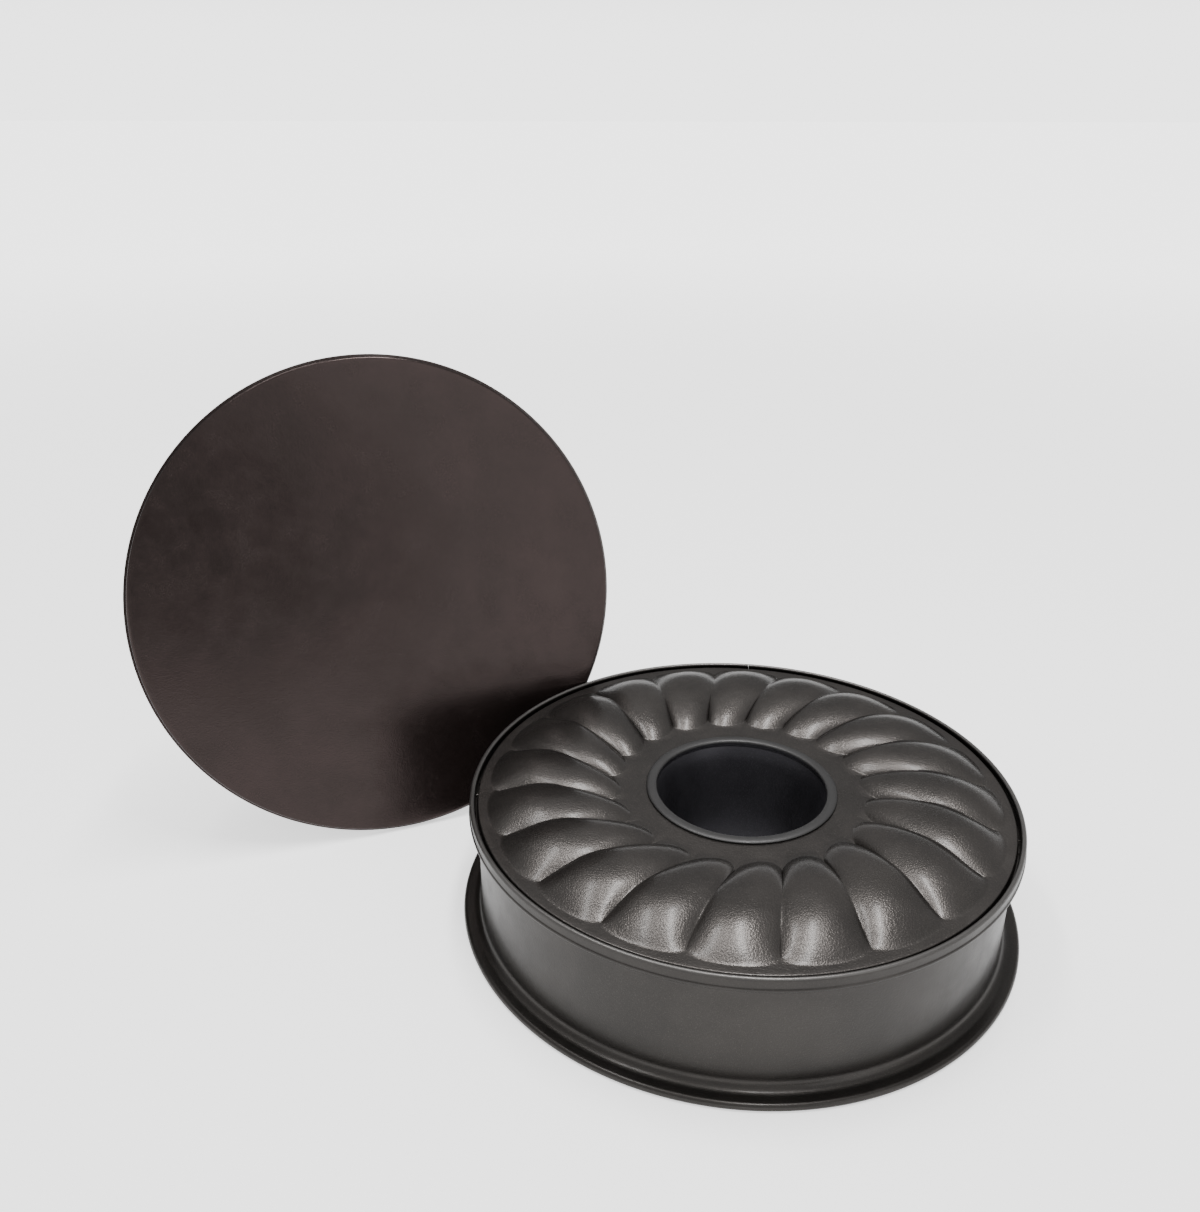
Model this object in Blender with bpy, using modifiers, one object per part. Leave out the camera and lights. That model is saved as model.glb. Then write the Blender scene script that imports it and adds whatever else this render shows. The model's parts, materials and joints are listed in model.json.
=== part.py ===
"""Springform tube pan, as a set stands on a worktop.

The ring stands upside down on its rolled rim with the fluted tube base seated in its upper end.
The flat base of the same set leans back beside it. The latch is on the rear of the ring.
Metres, +Z up, worktop at z = 0, origin under the middle of the whole set.
"""
import math

import bmesh
import bpy
from mathutils import Matrix, Vector

# Clearances, sheets, the step that keeps joined plates out of one plane, and drilling lengths
FIT_GAP = 0.0003
RING_SHEET = 0.0007
BASE_SHEET = 0.0008
TUBE_SHEET = 0.0007
MERGE = 0.00001
JOIN_STEP = 0.0001
WALL_CUT = 0.010
LATCH_CUT = 0.030

# Ring: a sheet hoop with a rolled rim below, and a ledge, band and lip above
WALL_INNER_R = 0.1300
RING_HEIGHT = 0.0650
RIM_REACH = 0.0095
RIM_CURL_R = 0.0016
RIM_FILLET = 0.0050
LEDGE_DEPTH = 0.0064
LEDGE_REACH = 0.0038
LEDGE_CORNER = 0.0011
LIP_ROLL_R = 0.00085
RING_SEGMENTS = 56
SEAM_ANGLE = math.radians(0.5)
LAP_ANGLE = math.radians(7.0)

# Both bases: a flange that seats on the ledge, and a shoulder up to the face
SHOULDER_INSET = 0.0010
SHOULDER_RISE = 0.0034
SHOULDER_TAPER = 0.0006

# Fluted base
FLUTES = 20
FLUTE_STEPS = 6
ANNULUS_WIDTH = 0.0037
FLUTE_INNER_R = 0.0595
FOOT_CORNER = 0.0036
END_ARCH = 0.0080
DOME_ROUNDNESS = 0.75
FLUTE_START = math.radians(9.4)
FLUTE_SWIRL = math.radians(10.1)
SWIRL_POWER = 1.75
PLATEAU_RISE = 0.0006
COLLAR_SEAT = 0.0002

# Share of a flute's length from its outer foot, height of its creases, height of its crest
FLUTE_ROWS = (
    (0.00, 0.0000, 0.0000),
    (0.03, 0.0009, 0.0038),
    (0.10, 0.0025, 0.0069),
    (0.22, 0.0048, 0.0091),
    (0.38, 0.0067, 0.0096),
    (0.58, 0.0070, 0.0091),
    (0.78, 0.0048, 0.0068),
    (0.93, 0.0018, 0.0033),
    (1.00, 0.0000, 0.0000),
)

# Centre tube
TUBE_TOP_R = 0.0420
TUBE_END_R = 0.0270
TUBE_END_Z = 0.0045
COLLAR_WIDTH = 0.0030
COLLAR_HEIGHT = 0.0012
COLLAR_CORNER = 0.0007
CRIMP_REACH = 0.0020
HEM_R = 0.0011
TUBE_SEGMENTS = 30

# Flat base, standing beside the ring
FLAT_SEGMENTS = 60
FLAT_TILT = math.radians(15.2)
FLAT_TURN = math.radians(29.7)
FLAT_BEARING = math.radians(170.255)
FLAT_CLEARANCE = 0.0012

# Latch: the seam is at the rear, lengths run along the wall from it, heights out from it
LATCH_Z = 0.0330
LATCH_SHEET = 0.0010
LEVER_SHEET = 0.0008
PIVOT_ALONG = 0.0240
PIVOT_OUT = 0.0082
PIVOT_R = 0.0015
PIVOT_HEAD_R = 0.0025
PIVOT_HEAD = 0.0008
EAR_R = 0.0036
EAR_FOOT = 0.0100
EAR_Z = 0.0075
BRACKET_START = 0.0180
BRACKET_END = 0.0460
BRACKET_HALF = 0.0079
THROW_ALONG = 0.0090
THROW_IN = 0.0002
THROW_EAR = 0.0020
LEVER_TOP = 0.0048
LEVER_EDGE = 0.0030
LEVER_EAR_END = 0.0280
LEVER_EAR_SLOPE = (0.0224, 0.0022)
LEVER_GRIP = ((0.0290, 0.0044), (0.0400, -0.0045), (0.0480, -0.0090), (0.0530, -0.0107), (0.0560, -0.0092))
BAIL_R = 0.0010
BAIL_Z = 0.0116
BAIL_CORNER = 0.0025
CATCH_START = -0.0300
CATCH_END = -0.0120
CATCH_HALF = 0.0080
HOOK_ALONG = -0.0160
HOOK_HALF = 0.0050
HOOK_HEIGHT = 0.0062
HOOK_LEAN = 0.0004
HOOK_PLAY = 0.00075
CROSSBAR_OUT = 0.0040
RIVET_R = 0.0015
RIVET_HEAD_R = 0.0026
RIVET_HEAD = 0.0009
BRACKET_RIVETS = (0.0360, 0.0425)
CATCH_RIVET_ALONG = -0.0255
CATCH_RIVET_Z = 0.0045
RIVET_SIDES = 8
PIN_SIDES = 12

# Sizes worked out from the ones above
WALL_R = WALL_INNER_R + RING_SHEET / 2
WALL_OUTER_R = WALL_INNER_R + RING_SHEET
RIM_R = WALL_OUTER_R + RIM_REACH
BAND_R = WALL_R + LEDGE_REACH
LIP_INNER_R = BAND_R - 2 * LIP_ROLL_R - RING_SHEET / 2
LEDGE_Z = RING_HEIGHT - LEDGE_DEPTH
FLANGE_R = LIP_INNER_R * math.cos(math.pi / RING_SEGMENTS) - FIT_GAP
SHOULDER_R = FLANGE_R - SHOULDER_INSET
FLANGE_Z = LEDGE_Z + RING_SHEET / 2 + FIT_GAP + BASE_SHEET
FACE_Z = FLANGE_Z + SHOULDER_RISE
PLATEAU_Z = FACE_Z + PLATEAU_RISE
HOLE_R = TUBE_TOP_R + TUBE_SHEET + FIT_GAP
COLLAR_R = TUBE_TOP_R + COLLAR_WIDTH
SEAT_Z = PLATEAU_Z - COLLAR_SEAT

BLACK_STEEL = {"color": (0.030, 0.028, 0.027), "roughness": 0.38, "metallic": 0.75}
BROWN_STEEL = {"color": (0.034, 0.022, 0.020), "roughness": 0.45, "metallic": 0.65}
DARK_STEEL = {"color": (0.012, 0.012, 0.014), "roughness": 0.50, "metallic": 0.60}
PLATED_STEEL = {"color": (0.55, 0.55, 0.56), "roughness": 0.28, "metallic": 1.0}


def clear_scene():
    for item in list(bpy.data.objects):
        bpy.data.objects.remove(item, do_unlink=True)


def make_collection(name):
    group = bpy.data.collections.new(name)
    bpy.context.scene.collection.children.link(group)
    return group


def make_material(name, finish):
    material = bpy.data.materials.new(name)
    material.use_nodes = True
    shader = material.node_tree.nodes["Principled BSDF"]
    shader.inputs["Base Color"].default_value = (*finish["color"], 1.0)
    shader.inputs["Roughness"].default_value = finish["roughness"]
    shader.inputs["Metallic"].default_value = finish["metallic"]
    return material


def add_object(name, data, group, parent=None, finish=None):
    item = bpy.data.objects.new(name, data)
    group.objects.link(item)
    item.parent = parent
    if finish is not None:
        data.materials.append(make_material(name + "_finish", finish))
    return item


def add_empty(name, group, location, parent=None):
    item = add_object(name, None, group, parent)
    item.location = location
    return item


def as_cutter(item):
    item.hide_render = True
    item.display_type = "WIRE"


def arc(centre, radius, start, end, steps):
    """Points round an arc in (radius, height), from start to end in degrees."""
    points = []
    for i in range(steps + 1):
        angle = math.radians(start + (end - start) * i / steps)
        points.append((centre[0] + radius * math.cos(angle), centre[1] + radius * math.sin(angle)))
    return points


def edge_mesh(name, points):
    """An open profile in the XZ plane, as edges."""
    mesh = bpy.data.meshes.new(name)
    edges = [(i, i + 1) for i in range(len(points) - 1)]
    mesh.from_pydata([(r, 0.0, z) for r, z in points], edges, [])
    return mesh


def turned(name, points, segments, group, parent, finish, sheet=None):
    """A profile turned about Z; with a sheet thickness it becomes a shell round the profile."""
    item = add_object(name, edge_mesh(name, points), group, parent, finish)
    screw = item.modifiers.new("turn", "SCREW")
    screw.axis = "Z"
    screw.angle = math.tau
    screw.steps = segments
    screw.render_steps = segments
    screw.use_merge_vertices = True
    screw.merge_threshold = MERGE
    screw.use_smooth_shade = True
    if sheet is not None:
        shell = item.modifiers.new("sheet", "SOLIDIFY")
        shell.thickness = sheet
        shell.offset = 0.0
        shell.use_even_offset = True
    return item


def sheet_sides(path, sheet):
    """Mitred points half a sheet to either side of a centre line."""
    sides = []
    for i, point in enumerate(path):
        here = Vector(point)
        steps = []
        if i > 0:
            steps.append((here - Vector(path[i - 1])).normalized())
        if i < len(path) - 1:
            steps.append((Vector(path[i + 1]) - here).normalized())
        along = sum(steps, Vector((0.0, 0.0))).normalized()
        mitre = sheet / 2 / along.dot(steps[0])
        across = Vector((-along.y, along.x)) * mitre
        sides.append((here + across, here - across))
    return sides


def flat_outline(name, points, z, half, group, parent, finish):
    """An outline in the XY plane, extruded half to either side of height z, as a mesh."""
    curve = bpy.data.curves.new(name, "CURVE")
    curve.dimensions = "2D"
    curve.fill_mode = "BOTH"
    curve.extrude = half
    spline = curve.splines.new("POLY")
    spline.points.add(len(points) - 1)
    for place, (x, y) in zip(spline.points, points):
        place.co = (x, y, 0.0, 1.0)
    spline.use_cyclic_u = True
    source = bpy.data.objects.new(name + "_outline", curve)
    group.objects.link(source)
    view = bpy.context.evaluated_depsgraph_get()
    mesh = bpy.data.meshes.new_from_object(source.evaluated_get(view))
    bpy.data.objects.remove(source, do_unlink=True)
    shape = bmesh.new()
    shape.from_mesh(mesh)
    bmesh.ops.remove_doubles(shape, verts=shape.verts, dist=MERGE)
    bmesh.ops.recalc_face_normals(shape, faces=shape.faces)
    bmesh.ops.translate(shape, verts=shape.verts, vec=(0.0, 0.0, z))
    shape.to_mesh(mesh)
    shape.free()
    return add_object(name, mesh, group, parent, finish)


def boolean(item, other, operation):
    tool = item.modifiers.new(operation.lower(), "BOOLEAN")
    tool.operation = operation
    tool.solver = "EXACT"
    tool.object = other


def cylinder_cutter(name, places, radius, length, sides, group, parent):
    """Cylinders in one cutter; each place is a matrix whose Z is the cylinder's axis."""
    shape = bmesh.new()
    for place in places:
        bmesh.ops.create_cone(
            shape, cap_ends=True, segments=sides, radius1=radius, radius2=radius,
            depth=length, matrix=place)
    mesh = bpy.data.meshes.new(name)
    shape.to_mesh(mesh)
    shape.free()
    cutter = add_object(name, mesh, group, parent)
    as_cutter(cutter)
    return cutter


def ring_path():
    """Centre line of the ring's sheet, from inside the rim curl up to the lip's inner edge."""
    facet = 22.5
    curl_z = RIM_CURL_R * math.sin(math.radians(3 * facet)) + RING_SHEET / 2
    curl_r = RIM_R - RING_SHEET / 2 - RIM_CURL_R * math.cos(math.radians(facet))
    path = arc((curl_r, curl_z), RIM_CURL_R, -7 * facet, 3 * facet, 5)
    flange_z = curl_z + RIM_CURL_R
    path.append((curl_r, flange_z))
    path += arc((WALL_R + RIM_FILLET, flange_z + RIM_FILLET), RIM_FILLET, -90, -180, 2)
    path += arc((WALL_R + LEDGE_CORNER, LEDGE_Z - LEDGE_CORNER), LEDGE_CORNER, 180, 90, 1)
    path += arc((BAND_R - LEDGE_CORNER, LEDGE_Z + LEDGE_CORNER), LEDGE_CORNER, -90, 0, 1)
    lip_z = RING_HEIGHT - RING_SHEET / 2 - LIP_ROLL_R
    path += arc((BAND_R - LIP_ROLL_R, lip_z), LIP_ROLL_R, 0, 180, 3)
    return path


def make_ring(group, cutters, frame):
    """The hoop, swept from its seam right round to it, with a lap tongue past the seam."""
    shape = bmesh.new()
    sides = sheet_sides(ring_path(), RING_SHEET)
    rows = [[shape.verts.new((p.x, 0.0, p.y)) for p in pair] for pair in sides]
    for low, high in zip(rows, rows[1:]):
        shape.faces.new((low[0], low[1], high[1], high[0]))
    bmesh.ops.rotate(shape, verts=shape.verts, matrix=Matrix.Rotation(math.pi / 2, 3, "Z"))
    sweep = bmesh.ops.spin(
        shape, geom=shape.verts[:] + shape.edges[:] + shape.faces[:], axis=(0, 0, 1),
        cent=(0, 0, 0), angle=math.tau - SEAM_ANGLE, steps=RING_SEGMENTS)
    ends = [f for f in sweep["geom_last"] if isinstance(f, bmesh.types.BMFace)]
    tongue = max(ends, key=lambda face: face.calc_area())
    half_step = LAP_ANGLE / 4
    shift = (RING_SHEET + FIT_GAP) / math.cos(half_step) + WALL_INNER_R * (1 - math.cos(half_step))
    for angle, steps, outward in ((SEAM_ANGLE, 1, shift), (LAP_ANGLE, 2, 0.0)):
        geometry = [tongue] + list(tongue.edges) + list(tongue.verts)
        lap = bmesh.ops.spin(
            shape, geom=geometry, axis=(0, 0, 1), cent=(0, 0, 0), angle=angle, steps=steps)
        tongue = next(f for f in lap["geom_last"] if isinstance(f, bmesh.types.BMFace))
        for corner in tongue.verts:
            corner.co += Vector((corner.co.x, corner.co.y, 0.0)).normalized() * outward
    bmesh.ops.recalc_face_normals(shape, faces=shape.faces)
    mesh = bpy.data.meshes.new("ring_band")
    shape.to_mesh(mesh)
    shape.free()
    ring = add_object("ring_band", mesh, group, frame, BLACK_STEEL)
    mesh.shade_smooth()
    mesh.set_sharp_from_angle(angle=math.radians(35))
    holes = cylinder_cutter(
        "ring_rivet_holes", rivet_places(), RIVET_R + FIT_GAP, WALL_CUT, RIVET_SIDES, cutters, frame)
    boolean(ring, holes, "DIFFERENCE")


def base_edge():
    """Outer surface of a base from its flange's edge up to its face, as (radius, height)."""
    return [
        (FLANGE_R, FLANGE_Z),
        (SHOULDER_R, FLANGE_Z),
        (SHOULDER_R - SHOULDER_TAPER, FACE_Z),
    ]


def flute_across(column):
    """A column's share of its flute's half width, closer together near the creases."""
    return math.sin(math.pi * ((column % FLUTE_STEPS) / FLUTE_STEPS - 0.5))


def flute_turn(column, swirl=0.0):
    """Angle of a column round the base."""
    flute = column // FLUTE_STEPS + (flute_across(column) + 1.0) / 2
    return FLUTE_START + math.tau * flute / FLUTES + swirl


def flute_point(row, column):
    """Top surface of the base in one row of the flutes and one column round the base."""
    share, crease, crest = row
    across = flute_across(column)
    flat = math.sqrt(1.0 - DOME_ROUNDNESS)
    dome = (math.sqrt(1.0 - DOME_ROUNDNESS * across ** 2) - flat) / (1.0 - flat)
    foot_r = SHOULDER_R - SHOULDER_TAPER - ANNULUS_WIDTH
    outer = foot_r - FOOT_CORNER * (1.0 - math.sqrt(1.0 - abs(across) ** 3))
    inner = FLUTE_INNER_R + END_ARCH * (1.0 - math.sqrt(1.0 - across ** 2))
    radius = outer + (inner - outer) * share
    height = FACE_Z + PLATEAU_RISE * share + crease + (crest - crease) * dome
    swirl = FLUTE_SWIRL * ((foot_r - radius) / (foot_r - FLUTE_INNER_R)) ** SWIRL_POWER
    turn = flute_turn(column, swirl)
    return Vector((radius * math.cos(turn), radius * math.sin(turn), height))


def make_fluted_base(group, frame):
    """A stamped sheet: turned in rows, then each flute's rows moved out to its swirled swell.

    The hole's edge is pressed down a little, as a seat under the tube's collar.
    """
    columns = FLUTES * FLUTE_STEPS
    edge = base_edge()
    profile = edge + [(edge[-1][0] - 0.002 * (i + 1), FACE_Z) for i in range(len(FLUTE_ROWS))]
    plateau = [(COLLAR_R + FIT_GAP, PLATEAU_Z), (HOLE_R, SEAT_Z)]
    profile += plateau
    shape = bmesh.new()
    verts = [shape.verts.new((r, 0.0, z)) for r, z in profile]
    edges = [shape.edges.new(pair) for pair in zip(verts, verts[1:])]
    bmesh.ops.spin(
        shape, geom=verts + edges, axis=(0, 0, 1), cent=(0, 0, 0), angle=math.tau, steps=columns)
    bmesh.ops.remove_doubles(shape, verts=shape.verts, dist=MERGE)
    for vert in shape.verts:
        radius = math.hypot(vert.co.x, vert.co.y)
        row = min(range(len(profile)), key=lambda i: abs(profile[i][0] - radius))
        column = round(math.atan2(vert.co.y, vert.co.x) / math.tau * columns) % columns
        if len(edge) <= row < len(profile) - len(plateau):
            vert.co = flute_point(FLUTE_ROWS[row - len(edge)], column)
        else:
            turn = flute_turn(column, 0.0 if row < len(edge) else FLUTE_SWIRL)
            vert.co.x = radius * math.cos(turn)
            vert.co.y = radius * math.sin(turn)
    bmesh.ops.recalc_face_normals(shape, faces=shape.faces)
    if sum(face.normal.z for face in shape.faces) < 0:
        bmesh.ops.reverse_faces(shape, faces=shape.faces)
    mesh = bpy.data.meshes.new("fluted_base")
    shape.to_mesh(mesh)
    shape.free()
    base = add_object("fluted_base", mesh, group, frame, BLACK_STEEL)
    mesh.shade_smooth()
    mesh.set_sharp_from_angle(angle=math.radians(50))
    shell = base.modifiers.new("sheet", "SOLIDIFY")
    shell.thickness = BASE_SHEET
    shell.offset = -1.0
    shell.use_even_offset = True


def make_centre_tube(group, frame):
    """A tapered tube rolled over the base's hole as a collar, with a crimp bead under the base."""
    half = TUBE_SHEET / 2
    neck = TUBE_TOP_R + half
    under = PLATEAU_Z + FIT_GAP + half
    crown = PLATEAU_Z + COLLAR_HEIGHT - half
    crimp = SEAT_Z - BASE_SHEET - FIT_GAP - half
    path = [
        (COLLAR_R - half, under),
        (COLLAR_R - half - COLLAR_CORNER, crown),
        (neck + COLLAR_CORNER, crown),
        (neck, crown - COLLAR_CORNER),
        (neck, crimp),
        (neck + CRIMP_REACH, crimp),
        (neck + CRIMP_REACH, crimp - CRIMP_REACH * 0.4),
        (neck, crimp - CRIMP_REACH),
        (TUBE_END_R + half, TUBE_END_Z),
        (TUBE_END_R + half + HEM_R, TUBE_END_Z - HEM_R),
        (TUBE_END_R + half + 2 * HEM_R, TUBE_END_Z),
    ]
    turned("centre_tube", path, TUBE_SEGMENTS, group, frame, DARK_STEEL, TUBE_SHEET)


def flat_base_foot(side, up, normal, radius):
    """Where the flat base touches the worktop: its shoulder's edge just passes the ring's lip."""
    face = SHOULDER_RISE + BASE_SHEET
    edge_r = SHOULDER_R - SHOULDER_TAPER
    drop = (radius - (RING_HEIGHT - normal.z * face) / up.z) / edge_r
    reach = side * edge_r * math.sqrt(1.0 - drop ** 2) + up * (radius - edge_r * drop) + normal * face
    bearing = Vector((math.cos(FLAT_BEARING), math.sin(FLAT_BEARING)))
    across = bearing.dot(reach.xy)
    clear = BAND_R + RING_SHEET / 2 + FLAT_CLEARANCE
    return bearing * (math.sqrt(across ** 2 - reach.xy.length_squared + clear ** 2) - across)


def flat_base_matrix():
    """Stands the flat base on its edge: its face looks along the normal, its foot on the worktop."""
    normal = Vector((
        math.sin(FLAT_TURN) * math.cos(FLAT_TILT),
        -math.cos(FLAT_TURN) * math.cos(FLAT_TILT),
        math.sin(FLAT_TILT)))
    side = Vector((math.cos(FLAT_TURN), math.sin(FLAT_TURN), 0.0))
    up = normal.cross(side)
    turn = Matrix((side, up, normal)).transposed()
    flat_r = FLANGE_R * math.cos(math.pi / FLAT_SEGMENTS)
    rise = flat_r * math.cos(FLAT_TILT)
    centre = flat_base_foot(side, up, normal, flat_r).to_3d() + Vector((up.x, up.y, 0.0)) * flat_r
    return Matrix.Translation(centre + Vector((0.0, 0.0, rise))) @ turn.to_4x4()


def make_flat_base(group, frame):
    """A plain stamped disc with the same flange and shoulder as the fluted base."""
    edge = [(r, z - FLANGE_Z + BASE_SHEET) for r, z in base_edge()]
    face = edge[-1][1]
    points = [(0.0, face)] + [(r, z) for r, z in reversed(edge)]
    under = [(r - (BASE_SHEET if z > edge[0][1] else 0.0), z - BASE_SHEET) for r, z in edge]
    under[1] = (under[1][0] - BASE_SHEET, under[1][1])
    points += under + [(0.0, face - BASE_SHEET)]
    disc = turned("flat_base", points, FLAT_SEGMENTS, group, frame, BROWN_STEEL)
    disc.rotation_euler.z = math.pi / 2 + math.pi / FLAT_SEGMENTS


def wrap(along, out):
    """A place by the latch: along the wall from the seam and out from its face, as (x, y)."""
    angle = along / WALL_OUTER_R
    radius = WALL_OUTER_R + out
    return (-radius * math.sin(angle), radius * math.cos(angle))


def wrapped_strip(path, sheet):
    """Outline of a strip along the wall, from (along, out) centre points, as (x, y) points."""
    sides = sheet_sides([wrap(along, out) for along, out in path], sheet)
    return [tuple(a) for a, b in sides] + [tuple(b) for a, b in reversed(sides)]


def wall_line(start, end, out, steps=4):
    return [(start + (end - start) * i / steps, out) for i in range(steps + 1)]


def pivot_place():
    return wrap(PIVOT_ALONG, PIVOT_OUT)


def by_pivot(along, out):
    """A place in the lever's own frame, along and out from its pivot, as (x, y)."""
    angle = PIVOT_ALONG / WALL_OUTER_R
    x, y = pivot_place()
    return (
        x - along * math.cos(angle) - out * math.sin(angle),
        y - along * math.sin(angle) + out * math.cos(angle))


def rivet_place(along, z):
    """A matrix at the wall with Z pointing out through it."""
    x, y = wrap(along, 0.0)
    out = Vector((x, y, 0.0)).normalized()
    side = Vector((0.0, 0.0, 1.0)).cross(out)
    turn = Matrix((side, Vector((0.0, 0.0, 1.0)), out)).transposed()
    return Matrix.Translation((x, y, z)) @ turn.to_4x4()


def rivet_places():
    places = [rivet_place(along, LATCH_Z) for along in BRACKET_RIVETS]
    for side in (-1, 1):
        places.append(rivet_place(CATCH_RIVET_ALONG, LATCH_Z + side * CATCH_RIVET_Z))
    return places


def make_bracket(group, cutters, frame):
    """A base plate along the wall with two ears that hold the lever's pivot."""
    out = FIT_GAP + LATCH_SHEET / 2
    strip = wrapped_strip(wall_line(BRACKET_START, BRACKET_END, out), LATCH_SHEET)
    bracket = flat_outline(
        "lever_bracket", strip, LATCH_Z, BRACKET_HALF, group, frame, PLATED_STEEL)
    drop = PIVOT_OUT - FIT_GAP - LATCH_SHEET * 0.6
    foot = EAR_FOOT / 2
    ear = [by_pivot(-foot, -drop)]
    ear += [by_pivot(x, y) for x, y in arc((0.0, 0.0), EAR_R, 180, 0, 8)]
    ear.append(by_pivot(foot, -drop))
    for side, label in ((-1, "low"), (1, "high")):
        plate = flat_outline(
            "bracket_ear_" + label, ear, LATCH_Z + side * (EAR_Z - JOIN_STEP), LATCH_SHEET / 2,
            cutters, frame, None)
        as_cutter(plate)
        boolean(bracket, plate, "UNION")
    x, y = pivot_place()
    hole = cylinder_cutter(
        "bracket_pin_hole", [Matrix.Translation((x, y, LATCH_Z))], PIVOT_R + FIT_GAP,
        LATCH_CUT, 16, cutters, frame)
    boolean(bracket, hole, "DIFFERENCE")
    rivets = cylinder_cutter(
        "bracket_rivet_holes", rivet_places()[:2], RIVET_R + FIT_GAP, WALL_CUT, RIVET_SIDES,
        cutters, frame)
    boolean(bracket, rivets, "DIFFERENCE")


def headed_pin(name, radius, head_r, head, low, high, sides, group, parent, finish):
    """A shank from low to high along Z with a head beyond each end."""
    points = [
        (0.0, high + head),
        (head_r * 0.6, high + head),
        (head_r, high + head * 0.3),
        (head_r, high),
        (radius, high),
        (radius, low),
        (head_r, low),
        (head_r, low - head * 0.3),
        (head_r * 0.6, low - head),
        (0.0, low - head),
    ]
    return turned(name, points, sides, group, parent, finish)


def lever_ear_out():
    """Outer face of the lever's ears, from the latch's mid height."""
    return EAR_Z + LATCH_SHEET / 2 + FIT_GAP + LEVER_SHEET


def make_pivot_pin(group, frame):
    x, y = pivot_place()
    reach = lever_ear_out() + FIT_GAP
    pin = headed_pin(
        "lever_pin", PIVOT_R, PIVOT_HEAD_R, PIVOT_HEAD, -reach, reach, PIN_SIDES,
        group, frame, PLATED_STEEL)
    pin.location = (x, y, LATCH_Z)


def throw_place():
    """Where the bail's ends turn in the lever."""
    return by_pivot(THROW_ALONG, -THROW_IN)


def make_lever(group, cutters, frame):
    """A channel: two ears on the pivot and bail, a top plate, and a grip with its tip turned out."""
    middle = LEVER_TOP - LEVER_SHEET / 2
    grip = ((LEVER_EDGE, middle),) + LEVER_GRIP
    sides = sheet_sides([by_pivot(x, y) for x, y in grip], LEVER_SHEET)
    plate = [tuple(a) for a, b in sides] + [tuple(b) for a, b in reversed(sides)]
    half = lever_ear_out()
    lever = flat_outline("lever", plate, LATCH_Z, half + JOIN_STEP, group, frame, PLATED_STEEL)
    throw_r = BAIL_R + THROW_EAR
    ear = [by_pivot(LEVER_EDGE - 0.0004, middle)]
    ear += [by_pivot(x, y) for x, y in arc((0.0, 0.0), EAR_R + 0.0002, 110, 270, 6)]
    ear += [by_pivot(x, y) for x, y in arc((THROW_ALONG, -THROW_IN), throw_r, 260, 330, 3)]
    ear.append(by_pivot(LEVER_EAR_SLOPE[0], LEVER_EAR_SLOPE[1]))
    ear.append(by_pivot(LEVER_EAR_END, middle))
    for side, label in ((-1, "low"), (1, "high")):
        centre = LATCH_Z + side * (half - LEVER_SHEET / 2)
        wall = flat_outline(
            "lever_ear_" + label, ear, centre, LEVER_SHEET / 2, cutters, frame, None)
        as_cutter(wall)
        boolean(lever, wall, "UNION")
    x, y = pivot_place()
    u, v = throw_place()
    pivot = cylinder_cutter(
        "lever_pivot_hole", [Matrix.Translation((x, y, LATCH_Z))], PIVOT_R + FIT_GAP,
        LATCH_CUT, 16, cutters, frame)
    boolean(lever, pivot, "DIFFERENCE")
    throw = cylinder_cutter(
        "lever_throw_hole", [Matrix.Translation((u, v, LATCH_Z))], BAIL_R + FIT_GAP,
        LATCH_CUT, 12, cutters, frame)
    boolean(lever, throw, "DIFFERENCE")


def crossbar_place():
    """Middle of the bail's crossbar, behind the hook."""
    behind = HOOK_ALONG - LATCH_SHEET / 2 - HOOK_PLAY - BAIL_R
    return wrap(behind, CROSSBAR_OUT)


def make_bail(group, frame):
    """A bent wire: ends turned into the lever's ears, legs past the bracket, a bar on the hook."""
    start = Vector((*throw_place(), 0.0))
    end = Vector((*crossbar_place(), 0.0))
    along = (end - start).normalized()
    up = Vector((0.0, 0.0, 1.0))
    tip = EAR_Z - LATCH_SHEET / 2
    corner = BAIL_CORNER
    bend = []
    for i in range(1, 4):
        angle = math.pi / 2 * i / 4
        bend.append((corner * (1 - math.cos(angle)), corner * (1 - math.sin(angle))))
    upper = [start + up * tip, start + up * (BAIL_Z - corner)]
    upper += [start + along * a + up * (BAIL_Z - b) for a, b in bend]
    upper += [start + along * corner + up * BAIL_Z, end - along * corner + up * BAIL_Z]
    upper += [end - along * a + up * (BAIL_Z - b) for a, b in reversed(bend)]
    upper.append(end + up * (BAIL_Z - corner))
    points = upper + [Vector((p.x, p.y, -p.z)) for p in reversed(upper)]
    curve = bpy.data.curves.new("bail", "CURVE")
    curve.dimensions = "3D"
    curve.bevel_depth = BAIL_R
    curve.bevel_resolution = 2
    curve.use_fill_caps = True
    spline = curve.splines.new("POLY")
    spline.points.add(len(points) - 1)
    for place, point in zip(spline.points, points):
        place.co = (*point, 1.0)
    bail = add_object("bail", curve, group, frame, PLATED_STEEL)
    bail.location.z = LATCH_Z


def make_catch(group, cutters, frame):
    """A plate along the wall with a tab bent up out of it, which the bail's crossbar hooks on."""
    out = FIT_GAP + LATCH_SHEET / 2
    strip = wrapped_strip(wall_line(CATCH_START, CATCH_END, out), LATCH_SHEET)
    plate = flat_outline("catch_plate", strip, LATCH_Z, CATCH_HALF, group, frame, PLATED_STEEL)
    root = FIT_GAP + LATCH_SHEET * 0.4
    path = [(HOOK_ALONG, root), (HOOK_ALONG, HOOK_HEIGHT * 0.6), (HOOK_ALONG - HOOK_LEAN, HOOK_HEIGHT)]
    hook = flat_outline(
        "catch_hook", wrapped_strip(path, LATCH_SHEET), LATCH_Z, HOOK_HALF, cutters, frame, None)
    as_cutter(hook)
    boolean(plate, hook, "UNION")
    holes = cylinder_cutter(
        "catch_rivet_holes", rivet_places()[2:], RIVET_R + FIT_GAP, WALL_CUT, RIVET_SIDES,
        cutters, frame)
    boolean(plate, holes, "DIFFERENCE")


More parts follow.
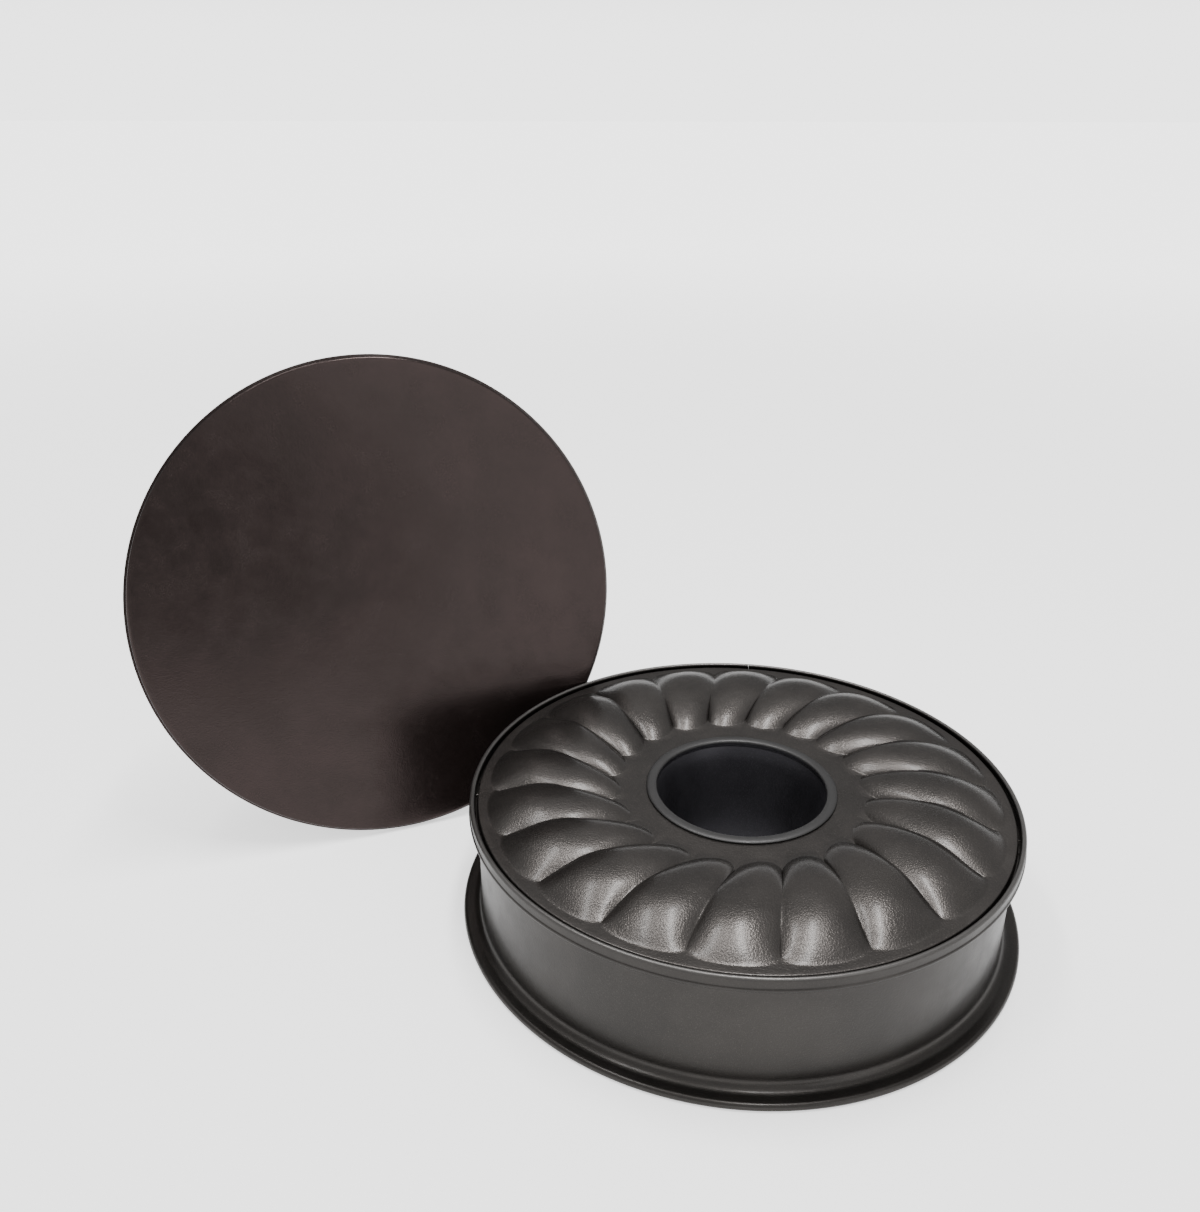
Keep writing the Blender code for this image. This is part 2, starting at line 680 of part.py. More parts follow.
def make_rivets(group, frame):
    """Four alike rivets, each through the wall and one of the latch's plates."""
    low = -RING_SHEET - FIT_GAP
    high = FIT_GAP + LATCH_SHEET + FIT_GAP
    names = ("bracket_rivet_near", "bracket_rivet_far", "catch_rivet_low", "catch_rivet_high")
    for name, place in zip(names, rivet_places()):
        rivet = headed_pin(
            name, RIVET_R, RIVET_HEAD_R, RIVET_HEAD, low, high, RIVET_SIDES,
            group, frame, PLATED_STEEL)
        rivet.matrix_basis = place


def set_span():
    """Reach of the whole set from the ring's axis: lowest and highest x, then y."""
    place = flat_base_matrix()
    reach = []
    for axis in (0, 1):
        lean = place.col[2][axis]
        half = FLANGE_R * math.sqrt(1.0 - lean ** 2)
        reach.append((place.translation[axis] - half, place.translation[axis] + half))
    lever_y = by_pivot(LEVER_EDGE, LEVER_TOP)[1]
    return (min(reach[0][0], -RIM_R), RIM_R), (-RIM_R, max(reach[1][1], RIM_R, lever_y))


def build():
    clear_scene()
    group = make_collection("springform_tube_pan")
    cutters = make_collection("cutters")
    (low_x, high_x), (low_y, high_y) = set_span()
    centre = Vector((-(low_x + high_x) / 2, -(low_y + high_y) / 2, 0.0))
    ring_frame = add_empty("ring_frame", group, centre)
    tube_frame = add_empty("tube_base_frame", group, centre)
    make_ring(group, cutters, ring_frame)
    make_bracket(group, cutters, ring_frame)
    make_pivot_pin(group, ring_frame)
    make_catch(group, cutters, ring_frame)
    make_rivets(group, ring_frame)
    make_lever(group, cutters, ring_frame)
    make_bail(group, ring_frame)
    make_fluted_base(group, tube_frame)
    make_centre_tube(group, tube_frame)
    flat_frame = add_empty("flat_base_frame", group, centre)
    flat_frame.matrix_world = Matrix.Translation(centre) @ flat_base_matrix()
    make_flat_base(group, flat_frame)
    for name, place in (("pivot", pivot_place()), ("throw", throw_place())):
        print(name, round(place[0] + centre.x, 6), round(place[1] + centre.y, 6))
    print("ring axis", tuple(round(value, 6) for value in centre))


build()
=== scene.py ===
import json
import math

import bpy
from mathutils import Matrix, Vector


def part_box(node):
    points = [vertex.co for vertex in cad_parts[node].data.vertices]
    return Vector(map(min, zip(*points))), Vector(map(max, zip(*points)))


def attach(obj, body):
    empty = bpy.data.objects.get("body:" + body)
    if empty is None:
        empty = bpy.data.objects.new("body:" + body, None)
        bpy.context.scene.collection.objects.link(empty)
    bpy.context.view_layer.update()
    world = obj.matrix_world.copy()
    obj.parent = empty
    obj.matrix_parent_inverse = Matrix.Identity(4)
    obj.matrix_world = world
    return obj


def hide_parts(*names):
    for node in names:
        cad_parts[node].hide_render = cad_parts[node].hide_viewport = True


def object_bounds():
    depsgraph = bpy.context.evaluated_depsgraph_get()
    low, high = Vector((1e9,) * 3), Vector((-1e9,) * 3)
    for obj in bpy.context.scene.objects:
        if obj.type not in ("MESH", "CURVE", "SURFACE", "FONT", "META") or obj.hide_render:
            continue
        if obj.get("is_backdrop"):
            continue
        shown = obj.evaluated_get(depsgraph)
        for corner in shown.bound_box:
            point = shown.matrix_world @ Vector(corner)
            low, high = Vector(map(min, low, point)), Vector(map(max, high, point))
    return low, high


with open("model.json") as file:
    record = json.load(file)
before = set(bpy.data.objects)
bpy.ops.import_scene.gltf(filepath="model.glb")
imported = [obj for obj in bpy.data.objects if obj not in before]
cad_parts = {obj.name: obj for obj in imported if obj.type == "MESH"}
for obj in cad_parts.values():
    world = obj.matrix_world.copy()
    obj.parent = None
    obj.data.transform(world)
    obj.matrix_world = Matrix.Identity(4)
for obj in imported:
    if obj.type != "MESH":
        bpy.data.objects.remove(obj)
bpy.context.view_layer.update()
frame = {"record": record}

# The tin's own centre line: everything round is measured from it.
# The centre tube is turned about that line, so its box has the line in its middle.
tube_low, tube_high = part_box("centre_tube")
axis = Vector(((tube_low.x + tube_high.x) / 2, (tube_low.y + tube_high.y) / 2, 0.0))

# Camera: it stands above the front of the tin and looks down at it, as in the photograph.
# Its place is measured from the tin's centre line, and its lens is a little wider than normal.
yaw = math.radians(-8.61)
pitch = math.radians(24.24)
level_reach = math.cos(pitch)
looking = Vector((math.sin(yaw) * level_reach, math.cos(yaw) * level_reach, -math.sin(pitch)))
bpy.ops.object.select_all(action="DESELECT")
bpy.ops.object.camera_add(location=axis + Vector((0.0, -0.46922, 0.37195)))
camera = bpy.context.object
camera.name = "camera"
camera.rotation_euler = looking.to_track_quat("-Z", "Y").to_euler()
camera.data.sensor_width = 36.0
camera.data.lens = 32.76
camera.data.clip_start = 0.01
bpy.context.scene.camera = camera

# Worktop: a plain white sheet that runs well past the tin on every side.
# It is painted with light: it glows, more further out, so that it meets the sky with no horizon.
horizon = 3.0


class Wire:
    """One link of a finish. Sums on wires add Math nodes, and node() adds any other kind."""

    def __init__(self, tree, socket=None):
        self.tree = tree
        self.socket = socket

    def node(self, kind, settings=None, values=None, out=0):
        node = self.tree.nodes.new(kind)
        for name, value in (settings or {}).items():
            setattr(node, name, value)
        for key, value in (values or {}).items():
            if isinstance(value, Wire):
                self.tree.links.new(value.socket, node.inputs[key])
            else:
                node.inputs[key].default_value = value
        return Wire(self.tree, node.outputs[out])

    def maths(self, operation, first, second):
        return self.node("ShaderNodeMath", {"operation": operation}, {0: first, 1: second})

    def __add__(self, other):
        return self.maths("ADD", self, other)

    __radd__ = __add__

    def __sub__(self, other):
        return self.maths("SUBTRACT", self, other)

    def __rsub__(self, other):
        return self.maths("SUBTRACT", other, self)

    def __mul__(self, other):
        return self.maths("MULTIPLY", self, other)

    __rmul__ = __mul__

    def grade(self, low, high, to_low=0.0, to_high=1.0):
        """A smooth step of this value from one reading to another."""
        return self.node(
            "ShaderNodeMapRange", {"interpolation_type": "SMOOTHSTEP"},
            {"Value": self, "From Min": low, "From Max": high, "To Min": to_low, "To Max": to_high})

    def tint(self, first, second):
        """A colour between two others, by this value."""
        return self.node(
            "ShaderNodeMix", {"data_type": "RGBA"}, {0: self, 6: first, 7: second}, out=2)


bpy.ops.object.select_all(action="DESELECT")
bpy.ops.mesh.primitive_plane_add(size=80.0, location=(0.0, 0.0, 0.0))
worktop = bpy.context.object
worktop.name = "worktop"
white = bpy.data.materials.new("worktop_white")
white.use_nodes = True
paint = white.node_tree.nodes["Principled BSDF"]
spot = Wire(white.node_tree).node("ShaderNodeTexCoord", out=3)
far_off = spot.node("ShaderNodeVectorMath", {"operation": "LENGTH"}, {0: spot}, out=1)
# Painted light: the glow is dimmer near the tin and grows brighter far off.
glow = far_off.grade(0.25, 3.0, 0.90, horizon - 0.75)
white.node_tree.links.new(glow.socket, paint.inputs["Emission Color"])
paint.inputs["Emission Strength"].default_value = 1.0
paint.inputs["Base Color"].default_value = (0.88, 0.88, 0.88, 1.0)
paint.inputs["Roughness"].default_value = 0.7
worktop.data.materials.append(white)
worktop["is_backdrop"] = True

# Studio: a bright horizon under a dim sky, and two long soft boxes hung high over the tin.
# The boxes draw the pair of streaks down every flute. The flat base mirrors the room's front,
# which has a dark patch on one side and a broad glowing screen beside it.
world = bpy.data.worlds.new("studio")
bpy.context.scene.world = world
world.use_nodes = True
room = world.node_tree
direction = Wire(room).node("ShaderNodeTexCoord")
height = direction.node("ShaderNodeSeparateXYZ", {}, {0: direction}, out=2)


def toward(x, y, z):
    """How nearly one looks this way in the room: 1 straight at it, less to each side."""
    aim = Vector((x, y, z)).normalized()
    return direction.node(
        "ShaderNodeVectorMath", {"operation": "DOT_PRODUCT"}, {0: direction, 1: aim}, out=1)


def soft_box(name, place, target, size, watts):
    bpy.ops.object.select_all(action="DESELECT")
    bpy.ops.object.light_add(type="AREA", location=place)
    lamp = bpy.context.object
    lamp.name = name
    lamp.data.shape = "RECTANGLE"
    lamp.data.size, lamp.data.size_y = size
    lamp.data.energy = watts
    lamp.rotation_euler = (Vector(target) - Vector(place)).to_track_quat("-Z", "X").to_euler()


sky = height.grade(0.05, 0.22, horizon, 0.66) + height.grade(0.58, 0.85, 0.0, 0.30)
front = toward(0.0, -0.80, 0.60).grade(0.45, 0.95, 0.0, 0.50)
dark_patch = toward(0.485, -0.860, 0.145).grade(0.965, 0.999) * height.grade(0.0, 0.12, 0.0, 0.70)
screen = toward(0.700, -0.587, 0.407).grade(0.93, 0.985, 0.0, 2.0)
brightness = (sky + front) * (1.0 - dark_patch) + screen
background = room.nodes["Background"]
background.inputs["Color"].default_value = (1.0, 1.0, 1.0, 1.0)
room.links.new(brightness.socket, background.inputs["Strength"])
box_size = (0.13, 0.90)
soft_box("left_box", axis + Vector((-0.51, 0.02, 1.5)), axis, box_size, 10.0)
soft_box("right_box", axis + Vector((0.14, 0.02, 1.5)), axis, box_size, 19.0)

# Hoop: one strip of dark coated steel, rolled outwards at the rim that the tin now stands on.
# At its upper end the strip steps out into a ledge, a bead and a plain band, and rolls inwards.
# Its two ends meet at the rear and a tongue from one laps over the other.
sheet = 0.0007
wall_r = 0.13035
rim_r = 0.14017
rim_roll = 0.0016
rim_fillet = 0.0050
ledge_z = 0.0586
ledge_corner = 0.0011
bead_roll = 0.0008
band_r = 0.13415
lip_roll = 0.00085
lip_z = 0.0638
seam_angle = 0.03


def start_finish(name, centre):
    """A new material and its coordinates, measured from a centre, in metres."""
    material = bpy.data.materials.new(name)
    material.use_nodes = True
    tree = material.node_tree
    place = Wire(tree).node("ShaderNodeTexCoord", out=3)
    place = place.node(
        "ShaderNodeMapping", {}, {"Vector": place, "Location": tuple(-v for v in centre)})
    return material, tree.nodes["Principled BSDF"], place


def grain(place, scale, detail=2.0, roughness=0.5, stretch=None):
    """Cloudy noise of so many grains to the metre, drawn out along an axis by a small stretch."""
    if stretch:
        place = place.node(
            "ShaderNodeVectorMath", {"operation": "MULTIPLY"}, {0: place, 1: stretch})
    return place.node(
        "ShaderNodeTexNoise", {},
        {"Vector": place, "Scale": scale, "Detail": detail, "Roughness": roughness})


def coated_steel(name, centre, dark, light, gloss, coat, relief, edge=0.70, wear_and_painted_light=None):
    """Baked-on dark coating: broad cloudy tone, fine metal flake and a pebbled skin.

    With wear_and_painted_light, the colour turns to its third value, a paler colour, between two
    heights: partly rubbed wear, partly painted light, as a painted highlight on the hoop's lip and,
    on the tube, a paler collar over painted shade inside.
    """
    material, shader, place = start_finish(name, centre)
    cloud = grain(place, 28.0, 3.0)
    flake = grain(place, 2600.0, 1.0, 0.6)
    smudge = grain(place, 70.0, 4.0, 0.6)
    fleck = tuple(min(1.0, 2.2 * value) for value in light[:3]) + (1.0,)
    tone = cloud.grade(0.35, 0.65).tint(dark, light)
    tone = (flake.grade(0.52, 0.80) * 0.55).tint(tone, fleck)
    if wear_and_painted_light:
        high = place.node("ShaderNodeSeparateXYZ", {}, {0: place}, out=2)
        tone = high.grade(wear_and_painted_light[0], wear_and_painted_light[1]).tint(tone, wear_and_painted_light[2])
    rough = smudge.grade(0.3, 0.75, gloss - 0.04, gloss + 0.05) + flake.grade(0.3, 0.7, -0.03, 0.03)
    skin = grain(place, 1300.0, 1.0) + grain(place, 240.0) * 0.5
    bump = skin.node(
        "ShaderNodeBump", {}, {"Height": skin, "Strength": relief, "Distance": 0.00030})
    links = material.node_tree.links
    links.new(tone.socket, shader.inputs["Base Color"])
    links.new(rough.socket, shader.inputs["Roughness"])
    links.new(bump.socket, shader.inputs["Normal"])
    shader.inputs["Metallic"].default_value = 0.82
    shader.inputs["Specular Tint"].default_value = (edge, edge, edge, 1.0)
    shader.inputs["Coat Weight"].default_value = coat
    shader.inputs["Coat Roughness"].default_value = 0.20
    return material


def bend(centre, radius, start, end, steps):
    """Points round an arc, in radius and height, with the angles in degrees."""
    turns = [math.radians(start + (end - start) * i / steps) for i in range(steps + 1)]
    return [(centre[0] + radius * math.cos(t), centre[1] + radius * math.sin(t)) for t in turns]


def draw_line(name, points):
    """Draws a line by hand: one vertex, extruded from point to point. Stays in edit mode."""
    bpy.ops.object.select_all(action="DESELECT")
    bpy.ops.mesh.primitive_plane_add(size=0.001, location=(0.0, 0.0, 0.0))
    item = bpy.context.object
    item.name = name
    bpy.ops.object.mode_set(mode="EDIT")
    bpy.ops.mesh.merge(type="CENTER")
    bpy.ops.transform.translate(value=points[0])
    for here, there in zip(points, points[1:]):
        step = tuple(b - a for a, b in zip(here, there))
        bpy.ops.mesh.extrude_vertices_move(TRANSFORM_OT_translate={"value": step})
    bpy.ops.mesh.select_all(action="SELECT")
    return item


def lathe(name, points, steps, centre, turn=360.0, start=0.0):
    """Spins a drawn line of radius and height round an upright line through a centre."""
    angle = math.radians(start)
    line = [
        (centre[0] + r * math.cos(angle), centre[1] + r * math.sin(angle), centre[2] + z)
        for r, z in points]
    item = draw_line(name, line)
    bpy.ops.mesh.spin(
        steps=steps, angle=math.radians(turn), center=tuple(centre), axis=(0.0, 0.0, 1.0))
    bpy.ops.mesh.select_all(action="SELECT")
    bpy.ops.mesh.remove_doubles(threshold=0.000004)
    bpy.ops.mesh.normals_make_consistent(inside=False)
    bpy.ops.object.mode_set(mode="OBJECT")
    return item


def thicken(item, thickness, offset=0.0, even=True):
    wall = item.modifiers.new("wall", "SOLIDIFY")
    wall.thickness = thickness
    wall.offset = offset
    wall.use_even_offset = even
    wall.use_quality_normals = True
    bpy.context.view_layer.objects.active = item
    bpy.ops.object.modifier_apply(modifier="wall")


def smooth(item, angle=40.0):
    bpy.ops.object.select_all(action="DESELECT")
    item.select_set(True)
    bpy.context.view_layer.objects.active = item
    bpy.ops.object.shade_smooth_by_angle(angle=math.radians(angle))


rim_low = rim_roll + sheet / 2
rim_mid = rim_r - sheet / 2 - rim_roll
hoop_line = bend((rim_mid, rim_low), rim_roll, -158, 90, 22)
hoop_line += [(rim_mid - 0.0008, rim_low + rim_roll), (rim_mid - 0.0018, rim_low + 0.00166)]
hoop_line += bend((wall_r + rim_fillet, rim_low + rim_roll + rim_fillet), rim_fillet, -90, -180, 9)
hoop_line += [(wall_r, z) for z in (0.018, 0.030, 0.042, 0.052)]
hoop_line += bend((wall_r + ledge_corner, ledge_z - ledge_corner), ledge_corner, 180, 90, 5)
hoop_line += bend((band_r - 0.0003, ledge_z + bead_roll), bead_roll, -90, 50, 9)
hoop_line += [(band_r + 0.00002, ledge_z + 0.00165), (band_r, ledge_z + 0.0020)]
hoop_line += [(band_r, ledge_z + 0.0026), (band_r, lip_z - 0.0006)]
hoop_line += bend((band_r - lip_roll, lip_z), lip_roll, 0, 205, 16)
hoop = lathe("hoop", hoop_line, 220, axis, 360.0 - seam_angle, 90.0)
thicken(hoop, sheet)
smooth(hoop)
# The lip's top is painted paler: partly rubbed wear, partly a painted highlight along its roll.
hoop_coating = coated_steel(
    "hoop_coating", axis, (0.020, 0.018, 0.0165, 1.0), (0.025, 0.0225, 0.0205, 1.0),
    0.38, 0.16, 0.20, wear_and_painted_light=(0.0641, 0.0649, (0.09, 0.086, 0.083, 1.0)))
hoop.data.materials.append(hoop_coating)
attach(hoop, "ring")
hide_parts("ring_band")

# Lap tongue: the wall's sheet runs on past the seam, steps out by its own thickness and closes it.
# It is part of the hoop's strip, cut back above and below so that only the wall laps.
tongue_start = -0.4
tongue_turn = 7.4
tongue_low = 0.0106
tongue_height = 0.0462
tongue_step = 0.00102
bpy.ops.object.select_all(action="DESELECT")
bpy.ops.mesh.primitive_grid_add(x_subdivisions=30, y_subdivisions=16, size=1.0)
tongue = bpy.context.object
tongue.name = "lap_tongue"
for corner in tongue.data.vertices:
    along = (corner.co.x + 0.5) * tongue_turn + tongue_start
    high = tongue_low + (corner.co.y + 0.5) * tongue_height
    share = min(max((along + 0.3) / 0.9, 0.0), 1.0)
    out = wall_r + tongue_step * share * share * (3.0 - 2.0 * share)
    turned = math.radians(90.0 + along)
    corner.co = (axis.x + out * math.cos(turned), axis.y + out * math.sin(turned), high)
thicken(tongue, sheet)
smooth(tongue)
tongue.data.materials.append(hoop_coating)
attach(tongue, "ring")

# Fluted tube base: one thin stamped sheet with a flange that drops onto the hoop's ledge.
# Its shoulder rises to a flat ring, then twenty swirled flutes, then the plateau round the tube.
# One flute is shaped from a grid and copied round, and the sheet is thickened downwards.
base_sheet = 0.0008
flange_r = 0.13159
shoulder_r = 0.13090
face_r = 0.13060
face_roll = 0.0007
flange_z = 0.06005
face_z = 0.06345
plateau_z = 0.06405
hole_r = 0.0430
flute_count = 20
flute_foot_r = 0.1263
flute_end_r = 0.0595
first_corner = math.radians(9.4)
flute_width = math.tau / flute_count
swirl_turn = math.radians(10.1)
swirl_power = 1.75
foot_corner = 0.0040
foot_power = 2.4
foot_fillet = 0.0006
end_arch = 0.0080
crest_height = 0.0094
crest_at = 0.41
crest_rise = 2.15
crest_fall = (2.2, 0.75)
crease_height = 0.0068
crease_rise = 1.3
crease_fall = 0.85
crease_round = 0.03
dome_bulge = 0.75


def flute_place(share, across):
    """Radius, height above the face and swirl of a flute, by its length and half width shares."""
    outer = flute_foot_r - foot_corner * (1.0 - math.sqrt(1.0 - abs(across) ** foot_power))
    inner = flute_end_r + end_arch * (1.0 - math.sqrt(1.0 - across ** 2))
    out = outer + (inner - outer) * share
    share = min(max(share, 0.0), 1.0)
    if share < crest_at:
        crest = crest_height * (1.0 - (1.0 - share / crest_at) ** crest_rise)
    else:
        fallen = min(1.0, (share - crest_at) / (1.0 - crest_at))
        crest = crest_height * (1.0 - fallen ** crest_fall[0]) ** crest_fall[1]
    crease_power = crease_rise if share < 0.5 else crease_fall
    crease = crease_height * math.sin(math.pi * share) ** crease_power
    from_crease = math.hypot(1.0 - abs(across), crease_round) - crease_round
    flat = math.sqrt(1.0 - dome_bulge)
    dome = (math.sqrt(1.0 - dome_bulge * (1.0 - from_crease) ** 2) - flat) / (1.0 - flat)
    height = math.hypot(crease + (crest - crease) * dome, foot_fillet) - foot_fillet
    inward = max(0.0, (flute_foot_r - out) / (flute_foot_r - flute_end_r))
    swirl = swirl_turn * inward ** swirl_power
    return out, height, swirl


def face_up(item):
    """Turns an open sheet's faces over if most of them look down."""
    if sum(face.normal.z * face.area for face in item.data.polygons) < 0:
        item.data.flip_normals()


shoulder = [(flange_r, flange_z), (flange_r - 0.0003, flange_z), (shoulder_r + 0.0004, flange_z)]
shoulder += [(shoulder_r + 0.00012, flange_z + 0.0002), (shoulder_r - 0.0001, flange_z + 0.0010)]
shoulder += [(face_r + 0.00012, face_z - 0.0014)]
shoulder += bend((face_r - face_roll, face_z - face_roll), face_roll, 6, 90, 6)
shoulder += [(face_r - 0.0026, face_z)]
inner_line = [(0.0565, plateau_z), (0.0530, plateau_z), (0.0495, plateau_z)]
inner_line += [(0.0465, plateau_z), (0.0445, plateau_z), (hole_r, plateau_z)]
flute_columns = 24
last_flute_row = 70
row_count = last_flute_row + len(inner_line)
bpy.ops.object.select_all(action="DESELECT")
bpy.ops.mesh.primitive_grid_add(
    x_subdivisions=flute_columns, y_subdivisions=row_count, size=1.0)
fluted = bpy.context.object
fluted.name = "fluted_sheet"
for corner in fluted.data.vertices:
    column = round((corner.co.x + 0.5) * flute_columns)
    row = round((0.5 - corner.co.y) * row_count)
    across = math.sin(math.pi * (column / flute_columns - 0.5))
    if row < len(shoulder):
        out, high = shoulder[row]
        swirl = 0.0
    elif row > last_flute_row:
        out, high = inner_line[row - last_flute_row - 1]
        swirl = swirl_turn
    else:
        even = (row - len(shoulder) - 1) / (last_flute_row - len(shoulder) - 1)
        share = 0.3 * even + 0.35 * (1.0 - math.cos(math.pi * even))
        out, high, swirl = flute_place(share, across)
        high += face_z + (plateau_z - face_z) * max(share, 0.0)
    turned = first_corner + flute_width * (across + 1.0) / 2 + swirl
    corner.co = (axis.x + out * math.cos(turned), axis.y + out * math.sin(turned), high)
bpy.ops.object.mode_set(mode="EDIT")
bpy.ops.mesh.select_all(action="SELECT")
bpy.ops.mesh.spin(
    steps=flute_count, dupli=True, angle=math.tau, center=tuple(axis), axis=(0.0, 0.0, 1.0))
bpy.ops.mesh.select_all(action="SELECT")
bpy.ops.mesh.remove_doubles(threshold=0.00001)
bpy.ops.mesh.normals_make_consistent(inside=False)
bpy.ops.object.mode_set(mode="OBJECT")
face_up(fluted)
thicken(fluted, base_sheet, -1.0, even=False)
smooth(fluted, 32.0)
fluted.data.materials.append(coated_steel(
    "fluted_coating", axis, (0.042, 0.0382, 0.0358, 1.0), (0.053, 0.0482, 0.045, 1.0),
    0.33, 0.24, 0.55, 0.30))
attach(fluted, "tube_base")
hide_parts("fluted_base")

# Centre tube: a tapered steel chimney, rolled over the plateau's hole as a wide flattened collar.
# A bead crimped under the sheet holds it, and its lower end is turned back on itself.
collar_mid = 0.04465
collar_half = 0.00225
collar_crown = 0.0007
neck_r = 0.04235
crimp_mid = 0.04365
crimp_half = 0.00037
hem_roll = 0.00105
tube_line = [
    (collar_mid + collar_half * math.cos(math.radians(t)),
     plateau_z + 0.0005 + collar_crown * math.sin(math.radians(t)))
    for t in range(5, 166, 10)]
tube_line += [(0.04240, plateau_z + 0.0002), (neck_r, plateau_z - 0.0004)]
tube_line += [(neck_r, plateau_z - 0.0015), (0.04250, plateau_z - 0.00167)]
tube_line += bend((crimp_mid, plateau_z - 0.00205), crimp_half, 90, -90, 6)
tube_line += [(0.04250, plateau_z - 0.00243), (0.04232, plateau_z - 0.0027)]
tube_line += [(0.0400, 0.0545), (0.0345, 0.0300), (0.02735, 0.0050)]
tube_line += bend((0.0284, 0.0046), hem_roll, 180, 350, 8)
tube = lathe("tube", tube_line, 128, axis)
thicken(tube, sheet, 0.0, even=False)
smooth(tube)
# The tube's inside is painted darker than its collar: painted shade down the tube.
tube.data.materials.append(coated_steel(
    "tube_coating", axis, (0.022, 0.021, 0.0245, 1.0), (0.028, 0.027, 0.031, 1.0),
    0.50, 0.05, 0.20,
    wear_and_painted_light=(plateau_z - 0.0004, plateau_z + 0.0006, (0.050, 0.049, 0.049, 1.0))))
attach(tube, "tube_base")
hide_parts("centre_tube")

# Flat base: the set's plain disc, stamped from one sheet with a like flange and shoulder.
# It stands on its edge and leans back, and turns its plain face to the front.
leaning = next(mount for mount in frame["record"]["mounts"] if mount["name"] == "flat_base_face")
facing = Vector(leaning["axis"]).normalized()
level = Vector((-facing.y, facing.x, 0.0)).normalized()
lean = Matrix((level, facing.cross(level), facing)).transposed().to_4x4()
lean = Matrix.Translation(Vector(leaning["pos_m"])) @ lean
disc_r = 0.1300
disc_roll = 0.0014
disc_rise = 0.0034
disc_line = [(r, 0.0) for r in (0.0, 0.02, 0.05, 0.08, 0.105, 0.120, 0.1262)]
disc_line += bend((disc_r - disc_roll, -disc_roll), disc_roll, 90, 6, 10)
disc_line += [(disc_r + 0.0001, -0.0027), (disc_r + 0.00022, -0.0031)]
disc_line += [(disc_r + 0.0005, -disc_rise), (flange_r - 0.0002, -disc_rise)]
disc = lathe("flat_disc", disc_line, 220, Vector((0.0, 0.0, 0.0)))
face_up(disc)
thicken(disc, base_sheet, -1.0, even=False)
disc.data.transform(lean)
smooth(disc)
disc.data.materials.append(coated_steel(
    "disc_coating", Vector(leaning["pos_m"]),
    (0.0215, 0.0155, 0.0145, 1.0), (0.0245, 0.0175, 0.0165, 1.0), 0.22, 0.02, 0.14))
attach(disc, "flat_base")
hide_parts("flat_base")

# Lever bracket: a small plate of plated steel riveted to the hoop beside its seam.
# Two ears stand up from it and carry the lever's pin. It is cut, folded and tumbled smooth.
wall_out = wall_r + sheet / 2
gap = 0.0003
latch_z = 0.0330
latch_sheet = 0.0010
bracket_start = 0.018
bracket_length = 0.028
bracket_half = 0.0079
pivot_along = 0.0240
pivot_out = 0.0082
pin_r = 0.0015
ear_mid = 0.0074
ear_r = 0.0036
ear_foot = 0.0056


def outline_plate(name, outline, low, high):
    """Draws a closed outline by hand, fills it and extrudes it from one height to another."""
    item = draw_line(name, [(x, y, low) for x, y in outline])
    bpy.ops.mesh.edge_face_add()
    bpy.ops.mesh.extrude_region_move(TRANSFORM_OT_translate={"value": (0.0, 0.0, high - low)})
    bpy.ops.mesh.select_all(action="SELECT")
    bpy.ops.mesh.normals_make_consistent(inside=False)
    bpy.ops.object.mode_set(mode="OBJECT")
    return item


def rounded(corners, radius, steps=5):
    """An outline whose corners are arcs; a corner may bring its own radius as a third number."""
    points = []
    for i, corner in enumerate(corners):
        here = Vector(corner[:2])
        before = (Vector(corners[i - 1][:2]) - here).normalized()
        after = (Vector(corners[(i + 1) % len(corners)][:2]) - here).normalized()
        size = corner[2] if len(corner) > 2 else radius
        half = before.angle(after) / 2
        middle = here + (before + after).normalized() * size / math.sin(half)
        reach = size / math.tan(half)
        first = here + before * reach - middle
        sweep = first.angle_signed(here + after * reach - middle)
        for k in range(steps + 1):
            angle = -sweep * k / steps
            turned_x = first.x * math.cos(angle) - first.y * math.sin(angle)
            turned_y = first.x * math.sin(angle) + first.y * math.cos(angle)
            points.append((middle.x + turned_x, middle.y + turned_y))
    return points


def cut_across(item, start, length, parts):
    """Slices a plate across its length into equal parts, so that it can follow a bend."""
    bpy.ops.object.select_all(action="DESELECT")
    item.select_set(True)
    bpy.context.view_layer.objects.active = item
    bpy.ops.object.mode_set(mode="EDIT")
    for i in range(1, parts):
        bpy.ops.mesh.select_all(action="SELECT")
        bpy.ops.mesh.bisect(
            plane_co=(start + length * i / parts, 0.0, 0.0), plane_no=(1.0, 0.0, 0.0))
    bpy.ops.object.mode_set(mode="OBJECT")


def wall_point(along, up, out):
    """A point by the latch: along the wall from the seam, up from its middle, out from the wall."""
    angle = along / wall_out
    reach = wall_out + out
    return axis + Vector((-reach * math.sin(angle), reach * math.cos(angle), latch_z + up))


def lever_point(along, up, out):
    """A point in the lever's own straight frame, from the middle of its pin."""
    angle = pivot_along / wall_out
    pivot = wall_point(pivot_along, 0.0, pivot_out)
    return pivot + Vector((
        -along * math.cos(angle) - out * math.sin(angle),
        -along * math.sin(angle) + out * math.cos(angle), up))


def settle(item, place, swapped=False):
    """Carries a piece modelled flat to its place: x along, y up and z out, or y and z swapped."""
    for corner in item.data.vertices:
        x, y, z = corner.co
        corner.co = place(x, z, y) if swapped else place(x, y, z)
    bpy.ops.object.select_all(action="DESELECT")
    item.select_set(True)
    bpy.context.view_layer.objects.active = item
    bpy.ops.object.mode_set(mode="EDIT")
    bpy.ops.mesh.select_all(action="SELECT")
    bpy.ops.mesh.normals_make_consistent(inside=False)
    bpy.ops.object.mode_set(mode="OBJECT")


